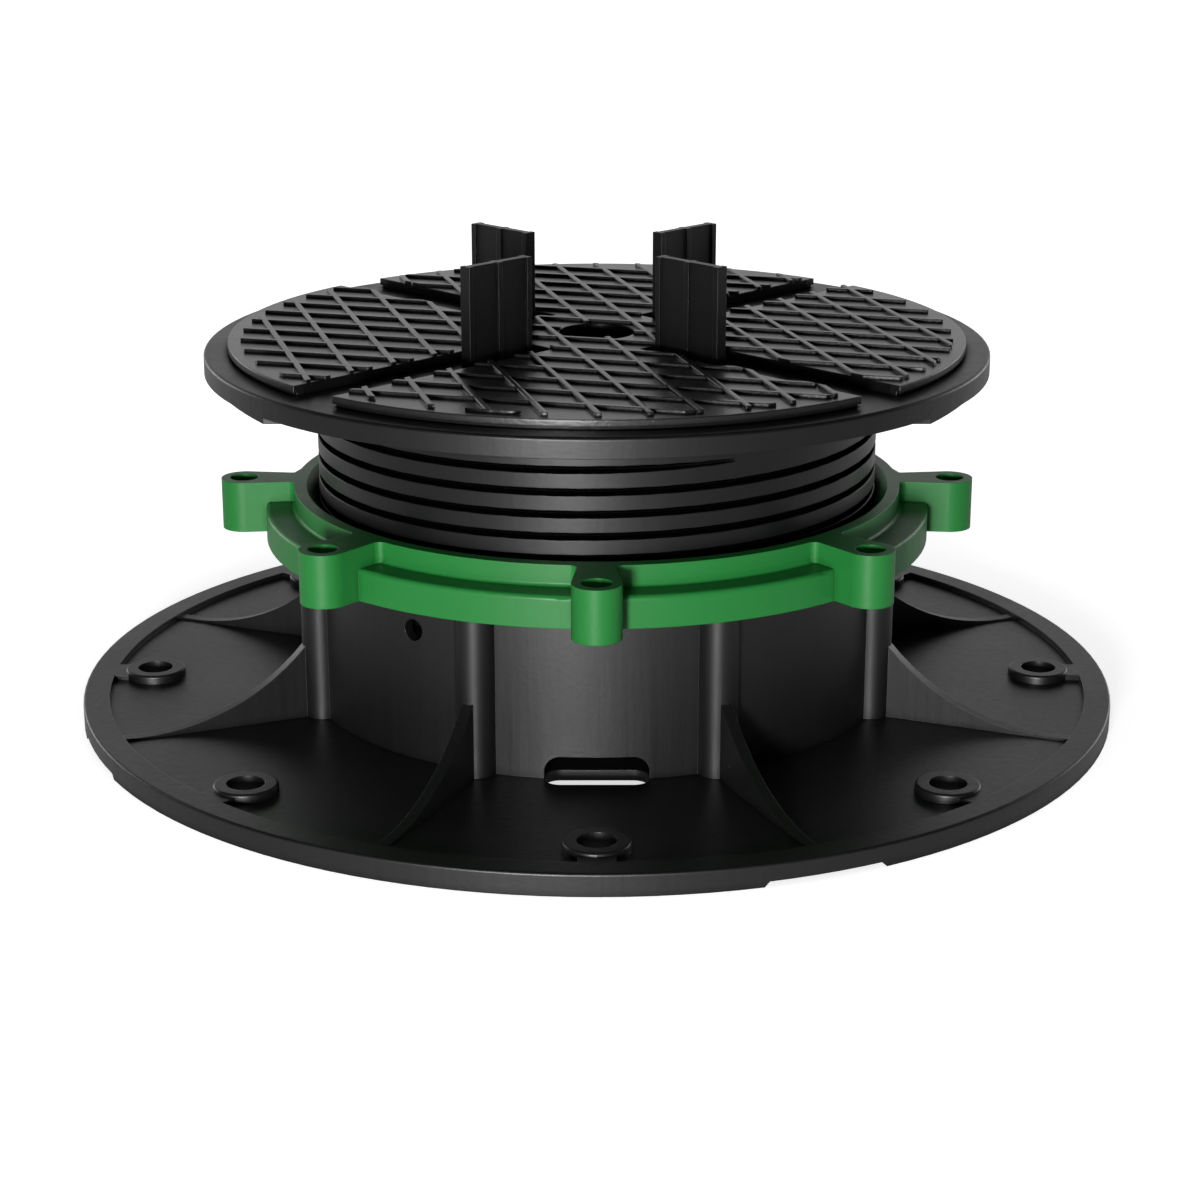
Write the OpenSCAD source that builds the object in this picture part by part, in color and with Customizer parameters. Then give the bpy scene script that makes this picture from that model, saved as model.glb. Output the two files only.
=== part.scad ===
// Adjustable pedestal that carries the corners of raised floor tiles.
// A lobed ring turns on the base's socket tube and screws the head up or down.
// Millimetres, +Z up, origin on the ground at the centre of the base.

/* [Base flange] */
// Diameter of the flange
flange_d = 200; // [190:1:220]
// Height of the raised rim above the ground
rim_h = 4.1; // [3.9:0.1:4.6]
// Width of the raised rim
rim_w = 5; // [4:0.5:6]
// Height of the floor's upper face
floor_top = 3.05; // [2.6:0.05:3.2]
// Thickness of the floor
floor_t = 2; // [1.5:0.1:2.2]
// Radius of the rim's upper edge
rim_edge_r = 0.5; // [0.2:0.1:0.8]
// Height of the cut-outs under the rim
foot_notch_h = 0.95; // [0.6:0.05:1.2]
// Length of the cut-outs under the rim
foot_notch_l = 22.7; // [18:0.1:28]

/* [Fixing holes] */
// Diameter of the circle on which the fixing holes lie
fixing_circle_d = 174.6; // [170:0.2:178]
// Diameter of a fixing hole
fixing_hole_d = 6.8; // [5:0.1:7.5]
// Wall round a fixing hole
fixing_wall = 2.4; // [2:0.1:3]
// Height of a fixing collar's top face
fixing_h = 4.7; // [4.5:0.1:6]
// Width of the web from a collar to the rim
fixing_web_w = 6.4; // [5:0.1:8]

/* [Socket tube] */
// Height of the tube's top edge
tube_top = 37.2; // [36:0.2:39]
// Wall of the tube
tube_wall = 2.1; // [1.8:0.1:2.5]
// Gap between the screw tube and the socket tube
tube_gap = 0.7; // [0.5:0.1:1.2]
// Number of half-round columns and gussets
column_count = 8; // [4:4:12]
// Radius of a half-round column
column_r = 3.7; // [3:0.1:4.2]
// Gap between the columns' tops and the ring's lower edge
column_gap = 0.4; // [0.3:0.1:1]
// Width of the lip that holds the ring down
lip_w = 3.2; // [2.6:0.1:3.4]
// Height of that lip
lip_h = 2.1; // [1.6:0.1:2.4]
// Thickness of a gusset
gusset_t = 2.1; // [1.6:0.1:2.6]
// Radius of a gusset's concave edge
gusset_edge_r = 42.4; // [40:0.1:46]
// Distance from the flange's edge to the lowest point of a gusset's edge
gusset_foot_in = 9; // [7:0.05:11]
// Height of that lowest point above the floor
gusset_foot_h = 0.35; // [0.2:0.05:0.6]
// Width of a drain slot
drain_w = 18.8; // [14:0.2:22]
// How far a drain slot reaches inside the tube's outer face
drain_in = 4.8; // [4:0.1:8]
// How far a drain slot reaches outside it
drain_out = 2.3; // [1.5:0.1:4]
// Height of the drain's opening in the tube wall, above the floor
drain_h = 4.2; // [3.6:0.1:6]
// Corner radius of a drain slot
drain_corner_r = 3; // [1:0.1:3.4]
// Diameter of the sight hole in the tube wall
sight_hole_d = 4; // [3:0.1:6]
// Height of the sight hole's centre
sight_hole_z = 27.65; // [20:0.05:29]
// Direction of the sight hole, from the front towards the left
sight_hole_turn = 35.75; // [30:0.25:40]

/* [Adjusting ring] */
// Height of the ring's body
ring_h = 9.8; // [9.5:0.1:11]
// Height of the lower skirt
skirt_h = 5.9; // [5.5:0.1:6.5]
// Radial gap between the tube's lip and the skirt
skirt_gap = 2; // [1.5:0.1:2.5]
// Wall of the skirt
skirt_wall = 2.3; // [2:0.1:3]
// Gap between the ring's web and the tube's top edge
ring_seat_gap = 0.3; // [0.2:0.1:0.5]
// Thickness of that web
web_t = 2.2; // [1.8:0.1:3]
// Width of the upper tier outside the ring's bore
tier_w = 4.5; // [3.2:0.1:5.2]
// Radius of the fillet where the tier meets the skirt
tier_fillet_r = 0.6; // [0.4:0.1:1.6]
// Gap between the ring's bore and the screw tube
bore_gap = 0.3; // [0.2:0.05:0.5]
// Size of the chamfer at the top of the bore
bore_chamfer = 2.2; // [0.6:0.1:2.6]
// Number of lobes
lobe_count = 8; // [4:1:10]
// Distance from the skirt's outer face to a lobe's centre
lobe_out = 4.5; // [3:0.1:5]
// Radius of a lobe
lobe_r = 4.4; // [4:0.1:5]
// Diameter of the hole in a lobe
lobe_hole_d = 5.4; // [3:0.1:5.8]
// Width of a lobe's arm at the tier
arm_w = 6.6; // [5:0.1:8]
// Radius of the fillet between an arm and the tier
arm_fillet_r = 1.4; // [0.8:0.1:3]
// Depth of the hooks that grip under the tube's lip
hook_w = 4.4; // [3.6:0.1:4.6]
// Height of those hooks
hook_h = 1; // [0.7:0.1:1.2]
// Length of a hook along the ring, in degrees
hook_span = 14; // [8:1:24]

/* [Threaded head] */
// Outer diameter of the screw tube
screw_d = 106.8; // [104:0.2:108]
// Wall of the screw tube
screw_wall = 3.5; // [3:0.1:4]
// Length of the screw tube below the top plate
screw_l = 46.6; // [42:0.2:50]
// Height of the top plate's upper face
plate_top = 70.4; // [69:0.1:76]
// Diameter of the top plate
plate_d = 148.4; // [145:0.1:156]
// Thickness of the top plate
plate_t = 3; // [2.5:0.1:4]
// Depth of the plate's turned-down rim
plate_rim_h = 3.7; // [3.6:0.1:5]
// Width of that rim
plate_rim_w = 2; // [1.5:0.1:3]
// Height of the four wedge-shaped feet under the rim
rim_foot_h = 1.05; // [0.6:0.05:1.6]
// Length of a foot, from its blunt end to its sharp end
rim_foot_l = 10.5; // [6:0.5:14]
// Width of a foot
rim_foot_w = 4; // [2.5:0.1:5]
// Distance of a foot's blunt end from the line between left and right
rim_foot_y = 46; // [40:0.5:52]
// Radius of the plate's upper edge
plate_edge_r = 0.6; // [0.3:0.1:1]
// Diameter of the centre hole
centre_hole_d = 14.6; // [12:0.1:16]
// Number of ribs under the plate
under_rib_count = 8; // [4:4:16]
// Thickness of a rib under the plate
under_rib_t = 2; // [1.5:0.1:2.5]
// Depth of such a rib where it meets the screw tube
under_rib_h = 6; // [5:0.1:8]
// Depth of such a rib where it meets the plate's rim
under_rib_end_h = 0.5; // [0.3:0.1:0.6]

/* [Screw thread] */
// Pitch of the single-start, right-handed thread
thread_pitch = 4; // [3:0.1:5]
// Depth of the groove in the screw tube
groove_depth = 1.2; // [0.8:0.05:1.4]
// Width of the groove at the screw tube's surface
groove_w = 1.35; // [1.2:0.05:1.8]
// Width of the groove's floor
groove_floor_w = 0.35; // [0.3:0.05:0.9]
// Distance from the top plate's underside to the groove's upper end
groove_end_in = 7.8; // [7:0.05:10]
// Direction of the groove's upper end, from the front towards the right
groove_end_turn = 27; // [0:1:90]
// Gap between the ring's thread and the groove, all round
thread_gap = 0.15; // [0.1:0.05:0.2]
// Turns of thread in the ring
ring_turns = 0.5; // [0.25:0.125:1]

/* [Spacer tabs] */
// Height of the tabs above the top plate
tab_h = 18.6; // [14:0.1:22]
// Distance from the axis to a tab's inner end
tab_inner_r = 17.3; // [15:0.1:18]
// Length of a tab
tab_l = 15.5; // [12:0.1:18]
// Thickness of a tab's web
tab_web_t = 1.5; // [1:0.1:2]
// Thickness of a tab over its upright ribs
tab_t = 2.4; // [2.1:0.1:3]
// Width of an upright rib
tab_rib_w = 1.1; // [0.8:0.1:2]
// How far the four tabs together lie to the left of the axis
tab_shift = 0.6; // [0:0.1:0.8]

/* [Grip pad] */
// Diameter of the pad
pad_d = 139.2; // [130:0.2:142]
// Thickness of the pad without its ribs
pad_t = 1.85; // [1.6:0.05:3]
// Height of the pad's ribs
pad_rib_h = 0.6; // [0.4:0.05:1]
// Width of a pad rib
pad_rib_w = 1; // [0.8:0.1:1.4]
// Smooth margin round the pad's ribs
pad_margin = 2.4; // [1.5:0.1:4]
// Spacing of the first family of ribs
rib_pitch_a = 8.44; // [7:0.01:10]
// Direction of the first family
rib_turn_a = -15; // [-30:1:0]
// Spacing of the second family of ribs
rib_pitch_b = 8.55; // [7:0.01:10]
// Direction of the second family
rib_turn_b = 105; // [90:1:120]
// Width of the slot that a tab stands in
slot_w = 10.6; // [8:0.1:14]
// Gap between a tab's inner end and the slot's inner end
slot_end_gap = 0.8; // [0.7:0.1:2]
// Height of the groove under the pad's outer edge
pad_groove_h = 0.55; // [0.4:0.05:0.8]
// Depth of that groove
pad_groove_w = 0.8; // [0.4:0.1:1.5]

/* [Hidden] */
$fn = 96;

// Overlap that lets a cut pass right through a face
eps = 1;
// Overlap that fuses two pieces of one moulding
bite = 0.4;
// How far a fillet's circle crosses the faces that it joins
seam = 0.02;
// Places of the fixing holes, drains, notches and tabs round the axis
FIXING_COUNT = 8;
DRAIN_COUNT = 4;
NOTCH_COUNT = 4;
TAB_COUNT = 4;
quarter = 90;
half_step = 22.5;
diagonal = 45;

flange_r = flange_d / 2;
floor_bottom = floor_top - floor_t;
fixing_circle_r = fixing_circle_d / 2;
collar_r = fixing_hole_d / 2 + fixing_wall;
collar_draft = 0.2;
collar_edge_r = 0.5;
notch_end_slope = 0.9;
notch_centre = half_step;

screw_r = screw_d / 2;
screw_bore_r = screw_r - screw_wall;
plate_bottom = plate_top - plate_t;
screw_bottom = plate_bottom - screw_l;
plate_r = plate_d / 2;
plate_rim_bottom = plate_top - plate_rim_h;

socket_bore_r = screw_r + tube_gap;
socket_r = socket_bore_r + tube_wall;
lip_r = socket_r + lip_w;
gusset_foot_r = flange_r - gusset_foot_in;
gusset_edge_z = floor_top + gusset_foot_h + gusset_edge_r;
gusset_top = gusset_edge_z - gusset_edge_r / 2;

skirt_in_r = lip_r + skirt_gap;
skirt_r = skirt_in_r + skirt_wall;
web_bottom = tube_top + ring_seat_gap;
skirt_top = web_bottom + web_t;
ring_bottom = skirt_top - skirt_h;
ring_top = ring_bottom + ring_h;
ring_bore_r = screw_r + bore_gap;
tier_r = ring_bore_r + tier_w;
lobe_centre_r = skirt_r + lobe_out;
// An arm starts inside the tier, and its sides spread until they touch the lobe's circle
arm_l = lobe_centre_r - tier_r;
arm_slant = asin(lobe_r / norm([arm_l, arm_w / 2])) - atan2(arm_w / 2, arm_l);
arm_start_r = tier_r - lobe_r;
arm_start_half = arm_w / 2 - lobe_r * tan(arm_slant);
skirt_edge_r = 0.8;
column_top = ring_bottom - column_gap;

pad_r = pad_d / 2;
pad_top = plate_top + pad_t;
rib_field_r = pad_r - pad_margin;
slot_inner_r = tab_inner_r - slot_end_gap;

// Straight steps in one turn of the thread
THREAD_STEPS = 48;
thread_step = 360 / THREAD_STEPS;
// Steps over which the groove runs out at its upper end
RUN_OUT_STEPS = 4;
groove_end_z = plate_bottom - groove_end_in;
groove_slope = (groove_w - groove_floor_w) / (2 * groove_depth);
ring_thread_mid = (web_bottom + ring_top - bore_chamfer) / 2;

// Puts copies of its children round the axis
module ring_of(count, start = 0) {
    for (i = [0:count - 1])
        rotate(start + i * 360 / count) children();
}

// The corner outside a quarter circle, for rounding an edge in a profile
module corner(r) {
    difference() {
        square(r + bite);
        circle(r);
    }
}

// Rectangle from x0 to x1 and from z0 to z1
module span(x0, x1, z0, z1) {
    translate([x0, z0]) square([x1 - x0, z1 - z0]);
}

// Rectangle with round corners, centred on the origin
module round_rect(w, l, r) {
    square([w - 2 * r, l], center = true);
    square([w, l - 2 * r], center = true);
    for (x = [-1, 1], y = [-1, 1])
        translate([x * (w / 2 - r), y * (l / 2 - r)]) circle(r);
}

// Half the groove's width at the radius r
function groove_half(r) = groove_floor_w / 2 + (r - screw_r + groove_depth) * groove_slope;

// Four points across a thread at the step i below the groove's upper end, between
// the radii r0 and r1, with half widths h0 and h1
function thread_ring(i, r0, r1, h0, h1) =
    let (turn = -i * thread_step, z = groove_end_z - i * thread_pitch / THREAD_STEPS)
    [for (p = [[r0, -h0], [r1, -h1], [r1, h1], [r0, h0]])
        [p[0] * cos(turn), p[0] * sin(turn), z + p[1]]];

// Sweeps such rings into one closed solid
module thread_solid(rings) {
    last = 4 * (len(rings) - 1);
    sides = [for (i = [0:len(rings) - 2], j = [0:3])
        let (a = 4 * i + j, b = 4 * i + (j + 1) % 4)
        each [[a, b + 4, b], [a, a + 4, b + 4]]];
    rotate(groove_end_turn - quarter)
        polyhedron([for (ring = rings) each ring],
                   concat([[0, 1, 2, 3]], sides, [[last + 3, last + 2, last + 1, last]]));
}

// ---- Base ----

module flange() {
    rotate_extrude() {
        span(0, flange_r - rim_w + bite, floor_bottom, floor_top);
        difference() {
            span(flange_r - rim_w, flange_r, 0, rim_h);
            translate([flange_r - rim_edge_r, rim_h - rim_edge_r]) corner(rim_edge_r);
        }
        span(socket_bore_r, socket_r, 0, floor_top);
    }
}

module foot_notch() {
    half = foot_notch_l / 2;
    translate([flange_r - rim_w - eps, 0, 0])
        rotate([90, 0, 90])
            linear_extrude(rim_w + 2 * eps)
                polygon([[-half - notch_end_slope, -foot_notch_h], [half + notch_end_slope, -foot_notch_h],
                         [half - notch_end_slope, foot_notch_h], [notch_end_slope - half, foot_notch_h]]);
}

module fixing_collar() {
    translate([fixing_circle_r, 0, 0]) {
        cylinder(h = fixing_h - collar_edge_r, r1 = collar_r + collar_draft, r2 = collar_r);
        translate([0, 0, fixing_h - collar_edge_r])
            rotate_extrude() {
                square([collar_r - collar_edge_r, collar_edge_r]);
                translate([collar_r - collar_edge_r, 0])
                    intersection() {
                        circle(collar_edge_r);
                        square(collar_edge_r);
                    }
            }
    }
    translate([fixing_circle_r, -fixing_web_w / 2, floor_bottom])
        cube([flange_r - rim_w + bite - fixing_circle_r, fixing_web_w, rim_h - floor_bottom]);
}

module fixing_hole() {
    translate([fixing_circle_r, 0, -eps])
        cylinder(h = fixing_h + 2 * eps, d = fixing_hole_d);
}

module socket_tube() {
    rotate_extrude() {
        span(socket_bore_r, socket_r, floor_bottom, tube_top);
        span(socket_r - bite, lip_r, tube_top - lip_h, tube_top);
    }
}

module column() {
    translate([socket_r, 0, floor_bottom])
        cylinder(h = column_top - floor_bottom, r = column_r);
}

module gusset() {
    rotate([90, 0, 0])
        translate([0, 0, -gusset_t / 2])
            linear_extrude(gusset_t)
                difference() {
                    span(socket_r, flange_r - rim_w + bite, floor_bottom, gusset_top);
                    translate([gusset_foot_r, gusset_edge_z]) circle(gusset_edge_r);
                }
}

module drain() {
    length = drain_in + drain_out;
    translate([socket_r - drain_in + length / 2, 0, -eps])
        linear_extrude(floor_top + 2 * eps)
            round_rect(length, drain_w, drain_corner_r);
    translate([socket_r - drain_in, 0, floor_top])
        rotate([90, 0, 90])
            linear_extrude(length)
                intersection() {
                    round_rect(drain_w, 2 * drain_h, drain_corner_r);
                    span(-drain_w / 2, drain_w / 2, 0, drain_h);
                }
}

module sight_hole() {
    rotate(-quarter - sight_hole_turn)
        translate([socket_bore_r - eps, 0, sight_hole_z])
            rotate([0, quarter, 0])
                cylinder(h = tube_wall + 2 * eps, d = sight_hole_d);
}

module base() {
    color("#1b1c1e")
        difference() {
            union() {
                flange();
                socket_tube();
                ring_of(FIXING_COUNT) fixing_collar();
                difference() {
                    ring_of(column_count, half_step) {
                        column();
                        gusset();
                    }
                    cylinder(h = tube_top, r = socket_bore_r + bite);
                }
            }
            ring_of(FIXING_COUNT) fixing_hole();
            ring_of(NOTCH_COUNT, notch_centre) foot_notch();
            ring_of(DRAIN_COUNT) drain();
            sight_hole();
        }
}

// ---- Adjusting ring ----

module ring_body() {
    rotate_extrude() {
        difference() {
            span(skirt_in_r, skirt_r, ring_bottom, skirt_top);
            translate([skirt_r - skirt_edge_r, skirt_top - skirt_edge_r]) corner(skirt_edge_r);
        }
        span(ring_bore_r, skirt_in_r + bite, web_bottom, skirt_top);
        difference() {
            span(ring_bore_r, tier_r, skirt_top - bite, ring_top);
            polygon([[ring_bore_r - eps, ring_top - bore_chamfer - eps],
                     [ring_bore_r + bore_chamfer + eps, ring_top + eps],
                     [ring_bore_r - eps, ring_top + eps]]);
        }
        difference() {
            span(tier_r - bite, tier_r + tier_fillet_r, skirt_top - bite, skirt_top + tier_fillet_r);
            translate([tier_r + tier_fillet_r, skirt_top + tier_fillet_r]) circle(tier_fillet_r);
        }
    }
}

module lobe() {
    touch = [lobe_centre_r - lobe_r * sin(arm_slant), lobe_r * cos(arm_slant)];
    translate([lobe_centre_r, 0]) circle(lobe_r);
    polygon([[arm_start_r, -arm_start_half], [touch.x, -touch.y], touch, [arm_start_r, arm_start_half]]);
}

// Fills the notches between the tier and the arm's two sides
module arm_fillet() {
    along = [cos(arm_slant), sin(arm_slant)];
    across = [-sin(arm_slant), cos(arm_slant)];
    beside = [tier_r, arm_w / 2] + arm_fillet_r * across;
    way = beside * along;
    middle_r = tier_r + arm_fillet_r;
    middle = beside + (sqrt(way * way + middle_r * middle_r - beside * beside) - way) * along;
    for (side = [0, 1])
        mirror([0, side])
            difference() {
                polygon([[arm_start_r, 0], middle - arm_fillet_r * across,
                         middle, middle * tier_r / middle_r]);
                translate(middle) circle(arm_fillet_r + seam);
            }
}

module lobe_shapes() {
    translate([0, 0, ring_bottom])
        linear_extrude(skirt_h)
            difference() {
                ring_of(lobe_count) lobe();
                circle(skirt_r - bite);
            }
    translate([0, 0, skirt_top - bite])
        linear_extrude(ring_top - skirt_top + bite)
            difference() {
                ring_of(lobe_count) {
                    lobe();
                    arm_fillet();
                }
                circle(tier_r - bite);
            }
}

module lobe_hole() {
    translate([lobe_centre_r, 0, ring_bottom - eps])
        cylinder(h = ring_h + 2 * eps, d = lobe_hole_d);
}

// The ring's thread, one ridge that rides in the groove
module ring_thread() {
    r0 = screw_r - groove_depth + thread_gap;
    r1 = ring_bore_r + bite;
    middle = round((groove_end_z - ring_thread_mid) / thread_pitch * THREAD_STEPS);
    half = floor(ring_turns * THREAD_STEPS / 2);
    thread_solid([for (i = [middle - half:middle + half])
        thread_ring(i, r0, r1, groove_half(r0) - thread_gap, groove_half(r1) - thread_gap)]);
}

module hook() {
    rotate(-hook_span / 2)
        translate([0, 0, ring_bottom])
            rotate_extrude(angle = hook_span)
                span(skirt_in_r - hook_w, skirt_in_r + bite, 0, hook_h);
}

module adjusting_ring() {
    color("#3f9a4c")
        difference() {
            union() {
                ring_body();
                lobe_shapes();
                ring_of(lobe_count) hook();
                ring_thread();
            }
            ring_of(lobe_count) lobe_hole();
        }
}

// ---- Threaded head ----

// The groove of the thread, from its run-out down through the tube's lower edge
module groove() {
    steps = ceil((groove_end_z - screw_bottom + thread_pitch) / thread_pitch * THREAD_STEPS);
    r1 = screw_r + eps;
    thread_solid([for (i = [0:steps])
        let (deep = min(1, (i + 0.5) / RUN_OUT_STEPS) * groove_depth)
        thread_ring(i, screw_r - deep, r1, groove_half(screw_r - groove_depth), groove_half(r1))]);
}

module screw_tube() {
    difference() {
        rotate_extrude() span(screw_bore_r, screw_r, screw_bottom, plate_bottom + bite);
        groove();
    }
}

module top_plate() {
    rotate_extrude()
        difference() {
            span(centre_hole_d / 2, plate_r, plate_bottom, plate_top);
            translate([plate_r - plate_edge_r, plate_top - plate_edge_r]) corner(plate_edge_r);
        }
}

module plate_rim() {
    rotate_extrude()
        span(plate_r - plate_rim_w, plate_r, plate_rim_bottom, plate_bottom + bite);
}

// The foot on the right at the back, whose blunt end points to the back
module rim_foot() {
    blunt = plate_rim_bottom - rim_foot_h;
    intersection() {
        rotate_extrude() span(plate_r - rim_foot_w, plate_r, blunt - eps, plate_bottom + bite);
        rotate([quarter, 0, quarter])
            linear_extrude(plate_r)
                polygon([[rim_foot_y - rim_foot_l, plate_rim_bottom], [rim_foot_y, blunt],
                         [rim_foot_y, plate_bottom + bite], [rim_foot_y - rim_foot_l, plate_bottom + bite]]);
    }
}

module under_rib() {
    rotate([quarter, 0, 0])
        linear_extrude(under_rib_t, center = true)
            polygon([[screw_r - bite, plate_bottom + bite], [screw_r - bite, plate_bottom - under_rib_h],
                     [screw_r, plate_bottom - under_rib_h], [plate_r - plate_rim_w, plate_bottom - under_rib_end_h],
                     [plate_r - plate_rim_w + bite, plate_bottom + bite]]);
}

module tab() {
    rib_step = (tab_l - tab_rib_w) / 2;
    translate([tab_inner_r, 0, plate_top - bite])
        linear_extrude(tab_h + bite) {
            translate([0, -tab_web_t / 2]) square([tab_l, tab_web_t]);
            for (i = [0:2])
                translate([i * rib_step, -tab_t / 2]) square([tab_rib_w, tab_t]);
        }
}

module threaded_head() {
    color("#1d1e20") {
        screw_tube();
        top_plate();
        plate_rim();
        for (side = [0, 1], end = [0, 1])
            mirror([side, 0, 0]) mirror([0, end, 0]) rim_foot();
        ring_of(under_rib_count, half_step) under_rib();
        translate([-tab_shift, 0, 0]) ring_of(TAB_COUNT, diagonal) tab();
    }
}

// ---- Grip pad ----

module pad_slot() {
    translate([slot_inner_r, -slot_w / 2]) square([pad_r, slot_w]);
}

module pad_outline(r) {
    difference() {
        circle(r);
        ring_of(TAB_COUNT, diagonal) pad_slot();
        circle(centre_hole_d / 2);
    }
}

module rib_family(pitch, turn) {
    count = ceil(rib_field_r / pitch);
    rotate(turn)
        for (i = [-count:count])
            translate([0, i * pitch]) square([2 * pad_r, pad_rib_w], center = true);
}

module grip_pad() {
    color("#2a2b2d") {
        translate([0, 0, plate_top])
            linear_extrude(pad_groove_h) pad_outline(pad_r - pad_groove_w);
        translate([0, 0, plate_top + pad_groove_h])
            linear_extrude(pad_t - pad_groove_h) pad_outline(pad_r);
        translate([0, 0, pad_top])
            linear_extrude(pad_rib_h)
                intersection() {
                    pad_outline(rib_field_r);
                    union() {
                        rib_family(rib_pitch_a, rib_turn_a);
                        rib_family(rib_pitch_b, rib_turn_b);
                    }
                }
    }
}

base();
adjusting_ring();
threaded_head();
grip_pad();
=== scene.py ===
"""Gives the solids of an adjustable floor pedestal their moulded plastics, rubber and a plain studio."""
from math import cos, radians, sin

import bpy
from bpy.props import FloatProperty, FloatVectorProperty, PointerProperty
from bpy.types import Operator, Panel, PropertyGroup
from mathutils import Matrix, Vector


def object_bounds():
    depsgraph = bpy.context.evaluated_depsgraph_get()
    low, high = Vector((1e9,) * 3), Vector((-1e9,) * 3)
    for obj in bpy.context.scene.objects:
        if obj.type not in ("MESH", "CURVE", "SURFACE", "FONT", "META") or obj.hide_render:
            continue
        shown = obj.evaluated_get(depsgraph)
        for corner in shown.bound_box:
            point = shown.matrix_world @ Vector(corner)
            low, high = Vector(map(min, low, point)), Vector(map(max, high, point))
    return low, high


bl_info = {
    "name": "Floor Pedestal Finish",
    "version": (1, 0, 0),
    "blender": (4, 5, 0),
    "location": "3D View > Sidebar > Pedestal",
    "description": "Gives an adjustable floor pedestal its plastics, rubber and studio",
    "category": "Object",
}

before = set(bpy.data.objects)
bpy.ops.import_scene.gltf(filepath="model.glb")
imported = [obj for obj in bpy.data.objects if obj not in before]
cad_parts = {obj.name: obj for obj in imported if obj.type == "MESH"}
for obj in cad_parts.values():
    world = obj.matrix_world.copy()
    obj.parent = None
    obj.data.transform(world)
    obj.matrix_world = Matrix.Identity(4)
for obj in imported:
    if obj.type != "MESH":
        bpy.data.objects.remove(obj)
CAD_BOX = [list(corner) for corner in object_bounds()]
MM = 0.001
PEDESTAL_LOW, PEDESTAL_HIGH = (Vector(corner) for corner in CAD_BOX)

# Outside of the head's screw, and the height of its plain end under the plate
SCREW_RADIUS = 53.4 * MM
SCREW_TOP = 67.0 * MM
# A height above the whole adjusting ring
RING_CLEAR = 60.0 * MM
# The pad's face between its ribs, and how far out the ribs reach
PAD_TOP = 72.25 * MM
RIB_FIELD_RADIUS = 67.2 * MM
# Height of the mould's grain where its map is 1
GRAIN_DEPTH = 0.1 * MM
# How near other walls must be for a spot to get the painted shade of a recess
RECESS_REACH = 2.5 * MM
# Half the side of the square floor, in metres
FLOOR_HALF = 3.0


# ---- Shader maths ----

class Wire:
    """A shader socket that takes part in Python expressions."""

    def __init__(self, paint, socket):
        self.paint = paint
        self.socket = socket

    def _math(self, operation, *values):
        return self.paint.node("ShaderNodeMath", {"operation": operation}, *values)

    def __add__(self, other):
        return self._math("ADD", self, other)

    __radd__ = __add__

    def __sub__(self, other):
        return self._math("SUBTRACT", self, other)

    def __rsub__(self, other):
        return self._math("SUBTRACT", other, self)

    def __mul__(self, other):
        return self._math("MULTIPLY", self, other)

    __rmul__ = __mul__

    def clamp(self):
        return self.paint.node("ShaderNodeClamp", {}, self)

    def smooth(self, low, high):
        """0 below low, 1 above high, and a smooth step between."""
        settings = {"interpolation_type": "SMOOTHSTEP"}
        return self.paint.node("ShaderNodeMapRange", settings, self, low, high, 0.0, 1.0)


class Paint:
    """Builds the nodes of one material or world."""

    def __init__(self, owner):
        owner.use_nodes = True
        self.owner = owner
        self.tree = owner.node_tree
        self.tree.nodes.clear()

    def node(self, kind, settings, *values, output=0, **named):
        """Adds a node, gives it its settings and then its inputs, and returns one of its outputs."""
        made = self.tree.nodes.new(kind)
        for key, value in settings.items():
            setattr(made, key, value)
        for key, value in [*enumerate(values), *named.items()]:
            if value is None:
                continue
            socket = made.inputs[key.replace("_", " ") if isinstance(key, str) else key]
            if isinstance(value, Wire):
                self.tree.links.new(value.socket, socket)
            else:
                socket.default_value = value
        return Wire(self, made.outputs[output]) if made.outputs else None

    def places(self):
        """Coordinates in the piece's own frame, in metres."""
        return self.node("ShaderNodeTexCoord", {}, output="Object")

    def noise(self, vector, scale, detail, roughness):
        """Noise whose grain size is one metre divided by scale."""
        return self.node("ShaderNodeTexNoise", {}, Vector=vector, Scale=scale, Detail=detail,
                         Roughness=roughness, output="Fac")

    def stretched(self, vector, x, y, z):
        return self.node("ShaderNodeVectorMath", {"operation": "MULTIPLY"}, vector, (x, y, z))

    def length(self, vector):
        return self.node("ShaderNodeVectorMath", {"operation": "LENGTH"}, vector, output="Value")

    def radius(self, place):
        """Distance from the screw's axis."""
        return self.length(self.stretched(place, 1.0, 1.0, 0.0))

    def split(self, vector, axis):
        """One component of a vector."""
        return self.node("ShaderNodeSeparateXYZ", {}, vector, output=axis)

    def blend(self, share, first, second):
        """Mixes two colours. A Mix node's colour sockets are its inputs 6 and 7 and its output 2."""
        skipped = [None] * 5
        return self.node("ShaderNodeMix", {"data_type": "RGBA"}, share, *skipped, first, second, output=2)

    def finish(self, shader, kind="ShaderNodeOutputMaterial"):
        """Links the shader to the output node and returns the material or world."""
        self.node(kind, {}, Surface=shader)
        return self.owner


# ---- Finishes ----

def painted_screw_shade(paint, place, inner, outer, top):
    """Black painted shade that thins out between two radii, on what lies below the height top."""
    below = 1.0 - paint.split(place, "Z").smooth(top - 1.0 * MM, top)
    return (1.0 - paint.radius(place).smooth(inner, outer)) * below * 0.7


def painted_shade(paint, shader, colour, share):
    """Covers a share of a finish with painted shade: a dull diffuse in a darker tone of its colour."""
    shade = tuple(value * 0.3 for value in colour)
    shade_bsdf = paint.node("ShaderNodeBsdfDiffuse", {}, Color=shade, output="BSDF")
    return paint.node("ShaderNodeMixShader", {}, share, shader, shade_bsdf, output="Shader")


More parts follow.
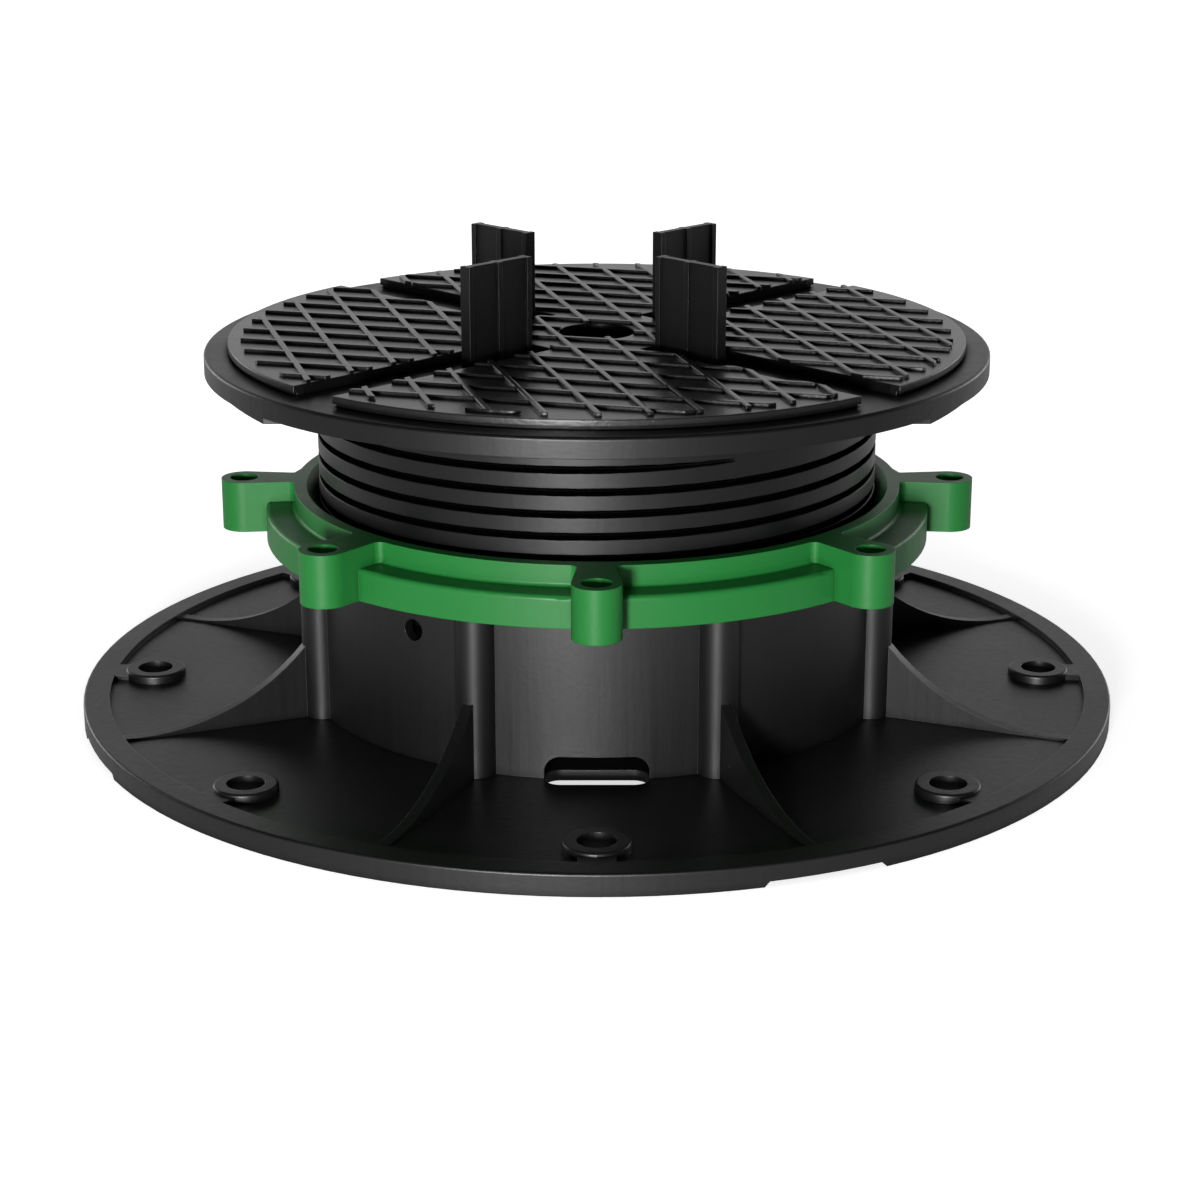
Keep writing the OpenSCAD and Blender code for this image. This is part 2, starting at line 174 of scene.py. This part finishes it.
def moulded_plastic(name, colour, ior, gloss, grain, drag, rub, recess_shade, screw_shade=None):
    """Moulded polypropylene: fine spark-eroded grain, drag marks down the walls, cloudy gloss, rubbed edges
    and painted shade in recesses and, where given, near the screw."""
    paint = Paint(bpy.data.materials.new(name))
    place = paint.places()
    rounded = paint.node("ShaderNodeBevel", {"samples": 6}, Radius=finish.edge_radius)
    facet = paint.node("ShaderNodeNewGeometry", {}, output="True Normal")
    facing = paint.node("ShaderNodeVectorMath", {"operation": "DOT_PRODUCT"}, rounded, facet, output="Value")
    edge = (1.0 - facing).smooth(0.03, 0.3)
    cloud = paint.noise(place, scale=28.0, detail=4.0, roughness=0.6)
    fleck = paint.noise(place, scale=900.0, detail=2.0, roughness=0.6)
    streak = paint.noise(paint.stretched(place, 1.0, 1.0, 0.05), scale=620.0, detail=3.0, roughness=0.55)
    rubbed = edge * paint.noise(place, scale=160.0, detail=3.0, roughness=0.6).smooth(0.35, 0.65)
    tone = 0.86 + cloud * 0.2 + fleck * 0.08
    tinted = paint.node("ShaderNodeVectorMath", {"operation": "SCALE"}, tuple(colour[:3]), Scale=tone)
    pale = [value * 1.5 + 0.012 for value in colour[:3]]
    worn = paint.blend(rubbed * rub, tinted, (*pale, 1.0))
    rough = gloss + (cloud - 0.5) * 0.12 + (streak - 0.5) * 0.1 - rubbed * 0.06
    bump = paint.node("ShaderNodeBump", {}, Strength=1.0, Distance=GRAIN_DEPTH,
                      Height=fleck * grain + streak * drag, Normal=rounded)
    shader = paint.node("ShaderNodeBsdfPrincipled", {}, IOR=ior, Base_Color=worn, Roughness=rough.clamp(),
                        Normal=bump, output="BSDF")
    # Painted shade in recesses: ambient occlusion darkens the colour where the shade falls
    open_sky = paint.node("ShaderNodeAmbientOcclusion", {"samples": 8}, Distance=RECESS_REACH, output="AO")
    shaded_share = (1.0 - open_sky.smooth(0.4, 0.85)) * recess_shade
    # Painted shade near the screw, where it is given
    if screw_shade:
        shaded_share = (shaded_share + painted_screw_shade(paint, place, *screw_shade)).clamp()
    return paint.finish(painted_shade(paint, shader, colour, shaded_share))


def soft_rubber(name, colour, gloss):
    """Satin thermoplastic rubber with a faint bloom, a leathery grain and painted shade on the low walls
    among its ribs.
    """
    paint = Paint(bpy.data.materials.new(name))
    place = paint.places()
    rounded = paint.node("ShaderNodeBevel", {"samples": 6}, Radius=finish.edge_radius * 2.5)
    bloom = paint.noise(place, scale=45.0, detail=5.0, roughness=0.65)
    pebble = paint.node("ShaderNodeTexVoronoi", {"feature": "SMOOTH_F1"}, Vector=place, Scale=1500.0,
                        Smoothness=0.6, output="Distance")
    tone = 0.82 + bloom * 0.3 + pebble * 0.1
    tinted = paint.node("ShaderNodeVectorMath", {"operation": "SCALE"}, tuple(colour[:3]), Scale=tone)
    rough = gloss + (bloom - 0.5) * 0.12
    height = pebble * 0.2 + paint.noise(place, scale=700.0, detail=3.0, roughness=0.6) * 0.16
    bump = paint.node("ShaderNodeBump", {}, Strength=1.0, Distance=GRAIN_DEPTH, Height=height, Normal=rounded)
    shader = paint.node("ShaderNodeBsdfPrincipled", {}, IOR=1.56, Base_Color=tinted, Roughness=rough.clamp(),
                        Normal=bump, output="BSDF")
    # Painted shade on the lower part of the upright rib walls among the ribs
    upright = paint.split(paint.node("ShaderNodeNewGeometry", {}, output="True Normal"), "Z")
    wall = 1.0 - (upright * upright).smooth(0.2, 0.6)
    low = 1.0 - paint.split(place, "Z").smooth(PAD_TOP + 0.25 * MM, PAD_TOP + 0.5 * MM)
    among_ribs = 1.0 - paint.radius(place).smooth(RIB_FIELD_RADIUS, RIB_FIELD_RADIUS + 0.4 * MM)
    return paint.finish(painted_shade(paint, shader, colour, wall * low * among_ribs * 0.5))


def coat(node, material):
    """Gives a CAD node its finish."""
    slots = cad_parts[node].data.materials
    slots.clear()
    slots.append(material)


# ---- Settings ----

class FinishSettings(PropertyGroup):
    """Colours and surface of the moulded parts."""
    black: FloatVectorProperty(name="Black plastic", description="Colour of the base and the head",
                               subtype="COLOR", size=4, min=0.0, max=1.0,
                               default=(0.0036, 0.0036, 0.0038, 1.0))
    green: FloatVectorProperty(name="Green plastic", description="Colour of the adjusting ring",
                               subtype="COLOR", size=4, min=0.0, max=1.0,
                               default=(0.013, 0.153, 0.0285, 1.0))
    rubber: FloatVectorProperty(name="Rubber", description="Colour of the grip pad",
                                subtype="COLOR", size=4, min=0.0, max=1.0,
                                default=(0.006, 0.006, 0.0062, 1.0))
    edge_radius: FloatProperty(name="Edge radius", description="Radius that softens every moulded edge",
                               unit="LENGTH", min=0.0, max=0.001, default=0.2 * MM)


class StudioSettings(PropertyGroup):
    """Camera, lamps and backdrop."""
    distance: FloatProperty(name="Camera distance", description="From the camera to the screw axis",
                            unit="LENGTH", min=0.3, max=2.0, default=0.52178)
    elevation: FloatProperty(name="Camera elevation", description="Angle of the camera above the horizon",
                             subtype="ANGLE", min=0.0, max=radians(80.0), default=radians(17.843))
    target_height: FloatProperty(name="Target height", description="Height that the camera looks at",
                                 unit="LENGTH", min=0.0, max=0.1, default=0.018611)
    lens: FloatProperty(name="Lens", description="Focal length on a 36 mm sensor",
                        subtype="DISTANCE_CAMERA", min=20.0, max=200.0, default=79.737)
    side_shift: FloatProperty(name="Side shift", description="Camera shift to the right",
                              min=-0.1, max=0.1, default=0.0026)
    fill: FloatProperty(name="Fill light", description="Brightness of the surroundings as a light",
                        min=0.0, max=2.0, default=0.16)
    sheen: FloatProperty(name="Reflected backdrop", description="Brightness of the backdrop in gloss",
                         min=0.0, max=1.0, default=0.86)


finish = None
studio = None


# ---- Operators ----

class PEDESTAL_OT_base(Operator):
    """Finish the base in black plastic, rubbed at its edges"""
    bl_idname = "pedestal.base"
    bl_label = "Base"

    def execute(self, context):
        coat("base", moulded_plastic("base_plastic", finish.black, ior=1.52, gloss=0.42, grain=0.16, drag=0.3,
                                     rub=0.5, recess_shade=0.35))
        return {"FINISHED"}


class PEDESTAL_OT_ring(Operator):
    """Finish the adjusting ring in green plastic"""
    bl_idname = "pedestal.ring"
    bl_label = "Adjusting Ring"

    def execute(self, context):
        # Painted shade at the ring's bore, where it meets the screw
        bore = (SCREW_RADIUS - 0.4 * MM, SCREW_RADIUS + 2.8 * MM, RING_CLEAR)
        coat("adjusting_ring", moulded_plastic("ring_plastic", finish.green, ior=1.36, gloss=0.42, grain=0.18,
                                               drag=0.1, rub=0.4, recess_shade=0.35, screw_shade=bore))
        return {"FINISHED"}


class PEDESTAL_OT_head(Operator):
    """Finish the threaded head in black plastic"""
    bl_idname = "pedestal.head"
    bl_label = "Threaded Head"

    def execute(self, context):
        # Painted shade in the thread grooves and inside the screw
        groove = (SCREW_RADIUS - 0.3 * MM, SCREW_RADIUS - 0.05 * MM, SCREW_TOP)
        coat("threaded_head", moulded_plastic("head_plastic", finish.black, ior=1.43, gloss=0.4, grain=0.16,
                                              drag=0.25, rub=0.1, recess_shade=0.95, screw_shade=groove))
        return {"FINISHED"}


class PEDESTAL_OT_pad(Operator):
    """Finish the grip pad in satin rubber"""
    bl_idname = "pedestal.pad"
    bl_label = "Grip Pad"

    def execute(self, context):
        coat("grip_pad", soft_rubber("pad_rubber", finish.rubber, gloss=0.31))
        return {"FINISHED"}


# ---- Stage ----

def area_lamp(name, watts, size, turn, elevation, distance, in_gloss):
    """A soft rectangular lamp aimed at the pedestal's middle; turn is from the front towards the right, in
    degrees."""
    data = bpy.data.lights.new(name, "AREA")
    data.shape = "RECTANGLE"
    data.energy = watts
    data.size, data.size_y = size
    lamp = bpy.data.objects.new(name, data)
    bpy.context.scene.collection.objects.link(lamp)
    a, e = radians(turn), radians(elevation)
    middle = (PEDESTAL_LOW + PEDESTAL_HIGH) / 2
    lamp.location = middle + distance * Vector((sin(a) * cos(e), -cos(a) * cos(e), sin(e)))
    lamp.rotation_euler = (middle - lamp.location).to_track_quat("-Z", "Y").to_euler()
    lamp.visible_glossy = in_gloss


def backdrop_rays(paint):
    """Which rays see the backdrop directly, and which see it in gloss."""
    camera, gloss, glass = (paint.node("ShaderNodeLightPath", {}, output=name) for name in
                            ("Is Camera Ray", "Is Glossy Ray", "Is Transmission Ray"))
    return camera + glass, gloss


class PEDESTAL_OT_stage(Operator):
    """Set up the camera, the lamps and a pale floor"""
    bl_idname = "pedestal.stage"
    bl_label = "Stage"

    def execute(self, context):
        self.light_world(context.scene)
        self.lay_floor()
        self.hang_lamps()
        self.place_camera(context.scene)
        return {"FINISHED"}

    def light_world(self, scene):
        """A white backdrop that lights the pedestal weakly and shows in gloss from behind only."""
        paint = Paint(bpy.data.worlds.new("backdrop"))
        direct, gloss = backdrop_rays(paint)
        way = paint.node("ShaderNodeTexCoord", {}, output="Generated")
        behind = paint.split(way, "Y").smooth(0.15, 0.6) * (1.0 - paint.split(way, "Z").smooth(0.25, 0.65))
        light = (1.0 - direct - gloss) * studio.fill + direct + gloss * behind * studio.sheen
        shader = paint.node("ShaderNodeBackground", {}, Color=(1.0, 1.0, 1.0, 1.0), Strength=light,
                            output="Background")
        scene.world = paint.finish(shader, "ShaderNodeOutputWorld")

    def lay_floor(self):
        """A pale square floor, a little darker under the pedestal, that keeps its shadow."""
        mesh = bpy.data.meshes.new("floor")
        corners = [(x * FLOOR_HALF, y * FLOOR_HALF, 0.0) for x, y in ((-1, -1), (1, -1), (1, 1), (-1, 1))]
        mesh.from_pydata(corners, [], [(0, 1, 2, 3)])
        floor = bpy.data.objects.new("floor", mesh)
        bpy.context.scene.collection.objects.link(floor)
        paint = Paint(bpy.data.materials.new("pale_floor"))
        direct, gloss = backdrop_rays(paint)
        lit = paint.node("ShaderNodeBsdfDiffuse", {}, Color=(0.85, 0.85, 0.85, 1.0), output="BSDF")
        away = paint.length(paint.places()).smooth(0.08, 0.24)
        white = paint.blend(away, (0.7, 0.7, 0.7, 1.0), (1.0, 1.0, 1.0, 1.0))
        glow = paint.node("ShaderNodeEmission", {}, Color=white, Strength=direct + gloss * 0.18,
                          output="Emission")
        both = paint.node("ShaderNodeAddShader", {}, lit, glow, output="Shader")
        mesh.materials.append(paint.finish(both))

    def hang_lamps(self):
        """A small hard key from the front, two low lamps from behind and a weak wide one above."""
        rear = {"size": (0.4, 0.2), "elevation": 5.0, "distance": 0.9, "in_gloss": True}
        area_lamp("key_lamp", watts=10.0, size=(0.12, 0.14), turn=-10.6, elevation=3.0, distance=0.9,
                  in_gloss=True)
        area_lamp("left_lamp", watts=0.95, turn=-130.0, **rear)
        area_lamp("right_lamp", watts=0.85, turn=130.0, **rear)
        area_lamp("top_lamp", watts=0.7, size=(0.6, 0.6), turn=0.0, elevation=80.0, distance=1.0,
                  in_gloss=False)

    def place_camera(self, scene):
        data = bpy.data.cameras.new("camera")
        data.sensor_width = 36.0
        data.lens = studio.lens
        data.shift_x = studio.side_shift
        camera = bpy.data.objects.new("camera", data)
        scene.collection.objects.link(camera)
        target = Vector((0.0, 0.0, studio.target_height))
        back = Vector((0.0, -cos(studio.elevation), sin(studio.elevation)))
        camera.location = target + back * studio.distance
        camera.rotation_euler = (-back).to_track_quat("-Z", "Y").to_euler()
        scene.camera = camera
        scene.view_settings.view_transform = "Standard"


class PEDESTAL_PT_panel(Panel):
    """Lists the pedestal's sizes, colours and pieces"""
    bl_idname = "PEDESTAL_PT_panel"
    bl_label = "Floor Pedestal"
    bl_space_type = "VIEW_3D"
    bl_region_type = "UI"
    bl_category = "Pedestal"

    def draw(self, context):
        layout = self.layout
        for group in (context.scene.pedestal_finish, context.scene.pedestal_studio):
            box = layout.box()
            for name in group.__annotations__:
                box.prop(group, name)
        for operator in OPERATORS:
            layout.operator(operator.bl_idname)


OPERATORS = (PEDESTAL_OT_base, PEDESTAL_OT_ring, PEDESTAL_OT_head, PEDESTAL_OT_pad, PEDESTAL_OT_stage)
CLASSES = (FinishSettings, StudioSettings, *OPERATORS, PEDESTAL_PT_panel)


def register():
    for cls in CLASSES:
        bpy.utils.register_class(cls)
    bpy.types.Scene.pedestal_finish = PointerProperty(type=FinishSettings)
    bpy.types.Scene.pedestal_studio = PointerProperty(type=StudioSettings)


def unregister():
    del bpy.types.Scene.pedestal_studio
    del bpy.types.Scene.pedestal_finish
    for cls in reversed(CLASSES):
        bpy.utils.unregister_class(cls)


def main():
    global finish, studio
    register()
    finish = bpy.context.scene.pedestal_finish
    studio = bpy.context.scene.pedestal_studio
    bpy.ops.pedestal.base()
    bpy.ops.pedestal.ring()
    bpy.ops.pedestal.head()
    bpy.ops.pedestal.pad()
    bpy.ops.pedestal.stage()


if __name__ == "__main__":
    main()
